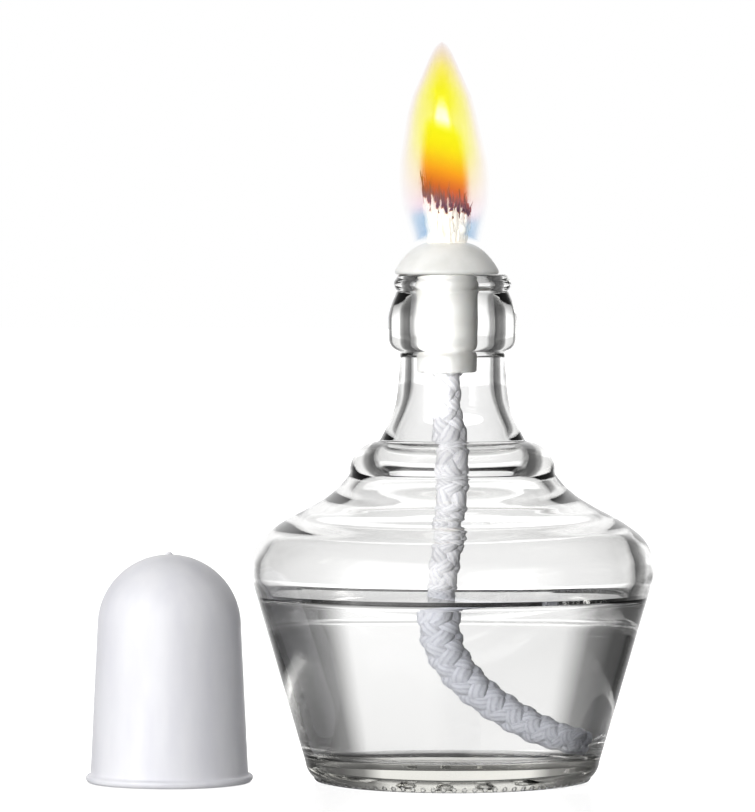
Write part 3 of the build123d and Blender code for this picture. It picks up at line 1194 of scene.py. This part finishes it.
        # count, root radius, top radius, height over the crest, half-width, wander, flatness, where the burn starts
        kinds = (
            (120, 3.9, 5.2, (-2.2, 0.6), (0.8, 1.2), 0.35, 0.45, (0.80, 0.96)),
            (90, 4.0, 5.6, (-0.6, 1.6), (0.34, 0.55), 0.5, 0.6, (0.62, 0.84)),
            (70, 4.0, 5.7, (0.6, 3.4), (0.26, 0.42), 0.7, 0.7, (0.42, 0.66)),
        )
        for kind, (count, root_r, top_r, over, widths, wander, flat, burns) in enumerate(kinds):
            for i in range(count):
                # The thin tufts stand round the outside of the thick ones.
                share = math.sqrt((i + 0.5) / count) if kind == 0 else 0.7 + 0.3 * (i + 0.5) / count
                angle = golden * i + kind
                root = (share * root_r * math.cos(angle), share * root_r * math.sin(angle))
                out = (share * top_r * math.cos(angle), share * top_r * math.sin(angle))
                height = self.crest(out[0]) + rng.uniform(*over) - 2.0 * max(0.0, share - 0.85) / 0.15 * (kind == 0)
                top = Vector((out[0], out[1], self.dome_top + height))
                rings, up = self.yarn(rng, root, top, rng.uniform(*widths), wander, flat)
                burn = np.clip((up - rng.uniform(*burns)) * 8, 0, 1)
                glow = np.clip((up - 0.85) * 5, 0, 1) * rng.uniform(0.0, 1.0) * (kind > 0)
                loft.tube(rings, burn=burn, glow=glow)
        piece = loft.finish("frayed_tip", self.singed.build())
        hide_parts("wick_tip")
        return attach(piece, Body.WICK.value)


# ---------------------------------------------------------------- flame


@dataclass
class Flame:
    """The flame, as nested sheaths of thin light. Sizes are in millimetres."""

    gas: FlameGas = FlameGas()
    sheaths: int = 26
    foot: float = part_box("flame")[0].z / MM
    tip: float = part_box("flame")[1].z / MM
    axis_x: float = HOLDER_X
    lean: float = -1.15
    slant: float = 0.008
    blue_top: float = 0.20
    heart: str = "#FFFFF4"

    def radius(self, share: float) -> float:
        """The flame's outer radius at a share of its height."""
        shares = (0, 0.08, 0.19, 0.30, 0.40, 0.53, 0.64, 0.735, 0.83, 0.90, 0.95, 0.98, 1)
        radii = (7.7, 8.7, 10.0, 10.4, 10.1, 8.9, 7.9, 6.7, 4.7, 3.3, 2.2, 1.3, 0)
        return float(np.interp(share, shares, radii))

    def hue(self, depth: float, share: float) -> np.ndarray:
        """The colour and density of the gas.

        Args:
            depth: 0 at the outermost sheath and 1 at the innermost.
            share: The share of the flame's height.

        Returns:
            Linear red, green and blue, and the alpha of one crossing.
        """
        core = [
            (0.00, "#A81C00", 0.00), (0.20, "#A81C00", 0.00), (0.23, "#B42000", 0.34), (0.265, "#CC3400", 0.52),
            (0.31, "#E85800", 0.55), (0.355, "#FF8400", 0.55), (0.41, "#FFB000", 0.55), (0.48, "#FFE400", 0.50),
            (0.56, "#FFFF10", 0.34), (0.76, "#FFFF30", 0.22), (0.90, "#FFF458", 0.11), (1.0, "#F0C8A0", 0.03),
        ]
        mantle = [
            (0.00, "#4F9AD2", 0.08), (0.11, "#5FA6D7", 0.07), (0.17, "#F0A8C8", 0.020), (0.27, "#FFC850", 0.018),
            (0.36, "#FFE830", 0.030), (0.48, "#FFFF10", 0.062), (0.75, "#FFFF10", 0.090), (0.88, "#FFF440", 0.070),
            (1.0, "#F0C8A0", 0.03),
        ]
        fringe = [
            (0.00, "#8FC0E8", 0.02), (0.10, "#A8C4E4", 0.02), (0.20, "#E4A4B8", 0.024), (0.32, "#E8B060", 0.026),
            (0.6, "#E4B050", 0.038), (0.85, "#DB9B50", 0.045), (1.0, "#C89078", 0.04),
        ]

        def read(table: list[tuple[float, str, float]]) -> np.ndarray:
            """The colour and density of one table at this share of the height."""
            places = [row[0] for row in table]
            colours = np.array([[*linear(row[1])[:3], row[2]] for row in table])
            return np.array([np.interp(share, places, colours[:, k]) for k in range(4)])

        bands = [(0.0, fringe), (0.05, fringe), (0.15, mantle), (0.42, mantle), (0.66, core), (1.0, core)]
        places = [place for place, _ in bands]
        values = np.array([read(table) for _, table in bands])
        # Blended by density, so that a dense band isn't coloured by the thin one beside it.
        values[:, :3] *= values[:, 3:]
        gas = np.array([np.interp(depth, places, values[:, k]) for k in range(4)])
        gas[:3] /= max(gas[3], 1e-6)
        window = float(np.interp(share, (0.55, 0.61, 0.66, 0.74), (0, 1, 0.9, 0)))
        gas[3] *= 1 - 0.86 * window * float(np.interp(depth, (0.3, 0.5), (0, 1)))
        white = window * float(np.interp(depth, (0.72, 0.84), (0, 1)))
        return gas * (1 - white) + np.array([*(3 * x for x in linear(self.heart)[:3]), 0.5]) * white

    def make(self) -> Piece:
        """The flame."""
        loft = Loft()
        around = np.linspace(0, math.tau, 40, endpoint=False)
        height = self.tip - self.foot
        for k in range(self.sheaths):
            depth = k / (self.sheaths - 1)
            scale = 1 - 0.93 * depth
            top = 1 - 0.28 * depth**1.5
            low = 0.10 * depth
            rings, colours = [], []
            steps = np.linspace(0, 1, 161)
            table = np.array([self.hue(depth, step) for step in steps])
            for share in np.linspace(low, top, 60):
                radius = self.radius((share - low) / (top - low)) * scale
                centre = self.axis_x + self.lean * min(1.0, 1.6 * share)
                z = self.foot + height * share
                ring = [centre + radius * np.cos(around), radius * np.sin(around), np.full(len(around), z)]
                rings.append(np.stack(ring, axis=1) * MM)
                # The core starts lower on the right, where the wick's slanted end is lower.
                shares = np.clip(share + self.slant * min(1.0, depth / 0.55) * radius * np.cos(around), 0, 1)
                colour = np.stack([np.interp(shares, steps, table[:, k]) for k in range(4)], axis=1)
                # The blue foot burns at the wick's two sides, where the slanted end feeds it.
                blue = np.clip((self.blue_top - share) / 0.06, 0, 1)
                colour[:, 3] *= 1 - blue * (1 - 1.6 * np.cos(around) ** 4)
                colours.append(colour)
            loft.tube(np.array(rings), open_ends=True, gas=np.concatenate(colours))
        piece = loft.finish("flame_sheaths", self.gas.build())
        piece.data.materials[0].cycles.emission_sampling = "NONE"
        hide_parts("flame")
        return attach(piece, Body.WICK.value)


# ---------------------------------------------------------------- snuffer cap


@dataclass
class SnufferCap:
    """The moulded cap that stands beside the bottle. Sizes are in millimetres."""

    plastic: MouldedPolypropylene = MouldedPolypropylene()
    mouth_radius: float = 18.2
    top_radius: float = 16.5
    dome_height: float = 36.0
    wall: float = 1.2
    flange_radius: float = 19.2
    flange_height: float = 1.6
    nub: Pair = (0.7, 0.5)

    @property
    def axis(self) -> Pair:
        """Where the cap's axis stands, in metres."""
        low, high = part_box("snuffer_cap")
        return ((low.x + high.x) / 2, (low.y + high.y) / 2)

    def outline(self) -> Outline:
        """The outline from the nub, down outside, round the flange and back up inside."""
        crown = self.dome_height + self.top_radius
        slant = math.sqrt(0.5)
        nub_r, nub_h = self.nub
        path = Outline([(0.0, crown + nub_h)])
        path.line((nub_r * 0.6, crown + nub_h), (nub_r, crown + nub_h * 0.6), (nub_r * 1.25, crown - 0.02))
        path.arc(
            (self.top_radius * slant, self.dome_height + self.top_radius * slant),
            (self.top_radius, self.dome_height),
            32,
        )
        path.line((self.mouth_radius - 0.12, self.flange_height + 0.9), steps=26)
        path.arc(
            (self.mouth_radius + 0.05, self.flange_height + 0.25), (self.mouth_radius + 0.4, self.flange_height), 4
        )
        path.line((self.flange_radius - 0.55, self.flange_height + 0.12), steps=2)
        path.arc(
            (self.flange_radius - 0.1, self.flange_height - 0.2), (self.flange_radius, self.flange_height - 0.65), 5
        )
        path.arc((self.flange_radius - 0.2, 0.3), (self.flange_radius - 0.7, 0.0), 4)
        inner_mouth, inner_top = self.mouth_radius - self.wall, self.top_radius - self.wall
        path.line((inner_mouth + 0.2, 0.0), steps=3).arc((inner_mouth + 0.06, 0.06), (inner_mouth, 0.3), 3)
        path.line((inner_top, self.dome_height), steps=20)
        return path.arc((inner_top * slant, self.dome_height + inner_top * slant), (0.0, crown - self.wall), 24)

    def settle(self, place: Vector, _index: int) -> Vector:
        """Pulls the moulding a hair out of round, and lifts its flange unevenly, as it cools."""
        angle = math.atan2(place.y, place.x)
        rim = max(0.0, 1 - place.z / 6)
        radius = math.hypot(place.x, place.y) or 1.0
        grow = 1 + (0.08 * math.cos(2 * angle + 0.6) * min(1.0, radius / 10)) / radius
        lift = 0.16 * max(0.0, math.sin(angle * 3 + 1.0)) * rim * max(0.0, radius - self.mouth_radius)
        return Vector((place.x * grow, place.y * grow, place.z + lift))

    def make(self) -> Piece:
        """The cap."""
        piece = turn("cap_moulding", self.outline(), self.plastic.build(), self.axis, 192, self.settle, 60)
        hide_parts("snuffer_cap")
        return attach(piece, Body.CAP.value)


# ---------------------------------------------------------------- studio


@dataclass
class Studio:
    """The white floor, the light tent with its dark flags, and the camera. Lengths are in metres."""

    floor: GlossAcrylic = GlossAcrylic()
    distance: float = 1.3
    eye_height: float = 0.127
    aim: Triple = (-0.0173, 0.0, 0.0866)
    field_height: float = 0.1874
    floor_radius: float = 6.0
    floor_drop: float = 0.00005
    backdrop: float = 1.0
    # Brightness of the walls by bearing in degrees: 0 is behind the lamp, -90 its left and 180 the camera's own side.
    walls: tuple[Pair, ...] = (
        (-180, 1.1), (-168, 3.4), (-124, 3.7), (-112, 1.1), (-95, 0.08), (-62, 0.12), (-45, 0.12), (-31, 0.30),
        (-22, 1.05), (21, 1.05), (28, 0.30), (40, 0.12), (60, 0.10), (78, 0.03), (140, 0.03), (160, 0.25), (180, 1.1),
    )
    # Where the walls end, by the sine of the elevation, and the brightness above them.
    roof: tuple[Pair, ...] = ((0.60, 0.0), (0.68, 1.0))
    roof_light: float = 0.16
    room_light: float = 0.16
    # Painted shadow on the floor: its brightness, as a share of the wall beyond it, by the distance from the lamp's
    # axis, dark beneath the lamp.
    shade: tuple[Pair, ...] = ((0.028, 0.0), (0.05, 0.15), (0.09, 0.40), (0.20, 0.50), (0.60, 0.90))

    def bearing_light(self, tree: Tree, place: Socket) -> Socket:
        """Adds the walls' brightness in the direction of a place.

        Args:
            tree: The tree that it goes in.
            place: The direction or place.

        Returns:
            The brightness as a colour.
        """
        parts = add(tree, "ShaderNodeSeparateXYZ", {0: place})
        bearing = reckon(tree, "ARCTAN2", parts.outputs["X"], parts.outputs["Y"])
        share = reckon(tree, "MULTIPLY_ADD", bearing, 1 / math.tau, 0.5)
        return ramp(tree, share, [(at / 360 + 0.5, grey(v)) for at, v in self.walls])

    def make_floor(self) -> Piece:
        """The floor, a wide disc, whose glow in reflections and refractions is painted light: the walls' light carried
        on towards the lamp, with a painted shadow that dims it beneath the lamp.
        """
        work = bmesh.new()
        bmesh.ops.create_circle(work, cap_ends=True, radius=self.floor_radius, segments=96)
        mesh = bpy.data.meshes.new("floor")
        work.to_mesh(mesh)
        work.free()
        finish = self.floor.build()
        tree = finish.node_tree
        place = add(tree, "ShaderNodeTexCoord").outputs["Object"]
        reach = add(tree, "ShaderNodeVectorMath", {"operation": "LENGTH", 0: place})
        # Painted shadow: the floor's glow dims towards the lamp's axis.
        near = ramp(tree, reach.outputs["Value"], [(at, grey(v)) for at, v in self.shade])
        # Painted light: the walls' brightness, by bearing, laid on the floor.
        far = mix(tree, 1.0, self.bearing_light(tree, place), near, "MULTIPLY")
        path = add(tree, "ShaderNodeLightPath").outputs
        seen = mix(tree, path["Is Camera Ray"], far, grey(self.floor.lit))
        cast = mix(tree, path["Is Diffuse Ray"], seen, grey(self.floor.fill))
        shader = next(n for n in tree.nodes if n.type == "BSDF_PRINCIPLED")
        tree.links.new(cast, shader.inputs["Emission Color"])
        finish.cycles.emission_sampling = "NONE"
        floor = new_object("floor", mesh, finish)
        floor.location.z = -self.floor_drop
        return floor

    def make_tent(self) -> None:
        """The world: a bright back wall, a key wall at the front left, dark flags between, and a dim roof."""
        world = bpy.data.worlds.new("light_tent")
        bpy.context.scene.world = world
        world.use_nodes = True
        tree = world.node_tree
        tree.nodes.clear()
        place = add(tree, "ShaderNodeTexCoord").outputs["Generated"]
        parts = add(tree, "ShaderNodeSeparateXYZ", {0: place})
        above = ramp(tree, parts.outputs["Z"], [(at, grey(v)) for at, v in self.roof])
        light = mix(tree, above, self.bearing_light(tree, place), grey(self.roof_light))
        path = add(tree, "ShaderNodeLightPath").outputs
        # Matt surfaces also catch the soft light of the room.
        soft = mix(tree, path["Is Diffuse Ray"], light, grey(self.room_light), "ADD")
        tent = add(tree, "ShaderNodeBackground", {"Color": soft}).outputs[0]
        flat = add(tree, "ShaderNodeBackground", {"Color": grey(self.backdrop)}).outputs[0]
        chosen = add(tree, "ShaderNodeMixShader", {0: path["Is Camera Ray"], 1: tent, 2: flat})
        add(tree, "ShaderNodeOutputWorld", {"Surface": chosen.outputs[0]})

    def make_camera(self) -> None:
        """The camera, level with the flame's foot, a long way back."""
        data = bpy.data.cameras.new("camera")
        data.sensor_fit = "VERTICAL"
        data.sensor_height = 24.0
        camera = bpy.data.objects.new("camera", data)
        bpy.context.scene.collection.objects.link(camera)
        aim = Vector(self.aim)
        camera.location = (aim.x, -self.distance, self.eye_height)
        camera.rotation_euler = (aim - camera.location).to_track_quat("-Z", "Y").to_euler()
        reach = (aim - camera.location).length
        data.lens = data.sensor_height * reach / self.field_height
        bpy.context.scene.camera = camera

    def make(self) -> None:
        """Sets up the whole studio."""
        self.make_camera()
        self.make_floor()
        self.make_tent()
        scene = bpy.context.scene
        scene.view_settings.view_transform = "Standard"
        scene.cycles.blur_glossy = 0.0
        scene.cycles.max_bounces = 32
        scene.cycles.transmission_bounces = 24
        scene.cycles.transparent_max_bounces = 96


def main() -> None:
    """Builds the lamp piece by piece."""
    logging.basicConfig(level=logging.INFO, format="%(name)s: %(message)s")
    Studio().make()
    wick = Wick()
    tail, line = wick.make_tail()
    fibres = wick.make_fibres(tail)
    bottle = Bottle()
    crossing = line[int(np.argmin(np.abs(line[:, 2] - bottle.oil_level * MM)))] / MM
    made = [
        bottle.make_glass(),
        bottle.make_stipples(),
        bottle.make_oil((float(crossing[0]), float(crossing[1])), wick.radius),
        WickHolder().make(),
        tail,
        fibres,
        wick.make_shank(),
        wick.make_tip(),
        Flame().make(),
        SnufferCap().make(),
    ]
    for piece in made:
        LOG.info("%s: %d faces", piece.name, len(piece.data.polygons))


if __name__ == "__main__":
    main()
